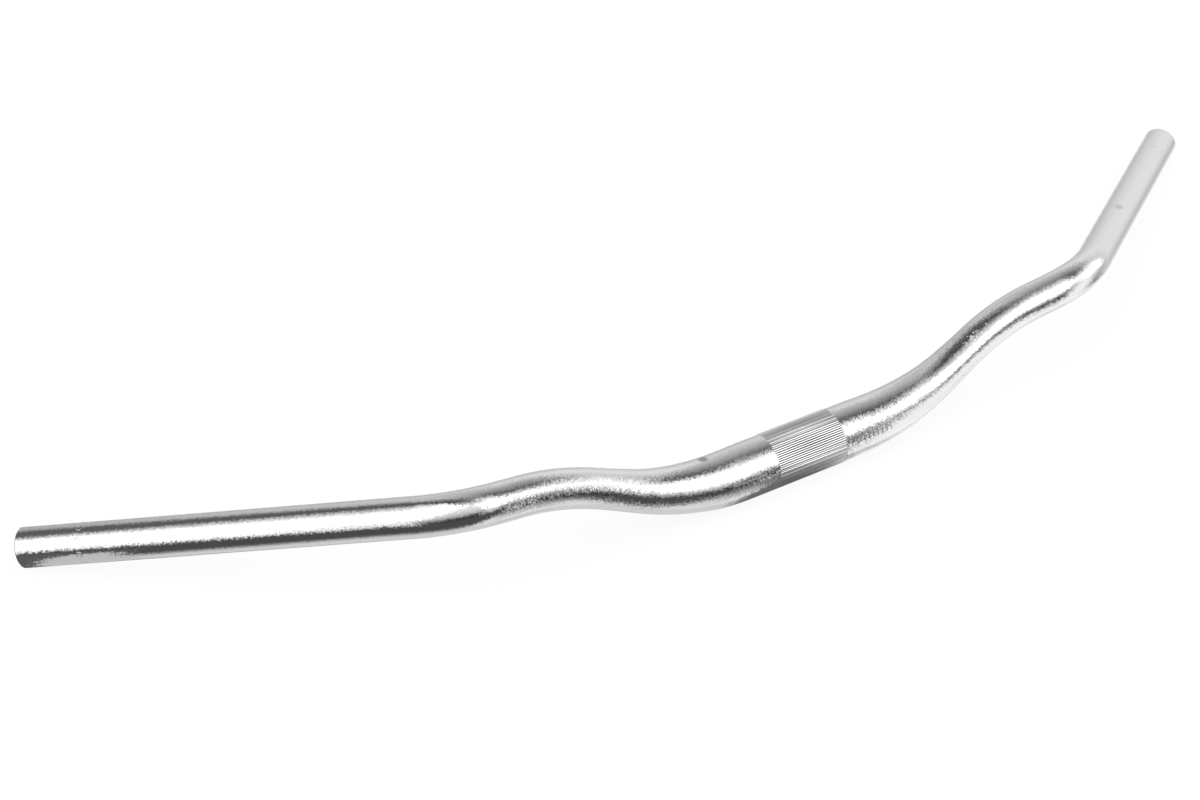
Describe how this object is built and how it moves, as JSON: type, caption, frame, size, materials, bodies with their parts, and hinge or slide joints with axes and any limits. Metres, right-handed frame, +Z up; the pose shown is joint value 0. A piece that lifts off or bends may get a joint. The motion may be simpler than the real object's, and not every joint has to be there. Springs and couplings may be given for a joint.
{
  "type": "swept-back handlebar",
  "caption": "Swept-back riser handlebar bent from a butted tube, with a knurled clamp band in the middle and plain open-ended grips.",
  "frame": {"origin": "middle of the clamp, on the tube's centre line", "axes": "+X along the clamp towards the rider's left hand, +Y back along the sweep of the grips towards the rider, +Z up from the table that the bar rests on"},
  "size_m": [0.8, 0.1742, 0.0626],
  "materials": {
    "satin_aluminium": "bead-blasted satin, clear anodised"
  },
  "bodies": {
    "root": {"handlebar": "satin_aluminium"}
  },
  "joints": []
}
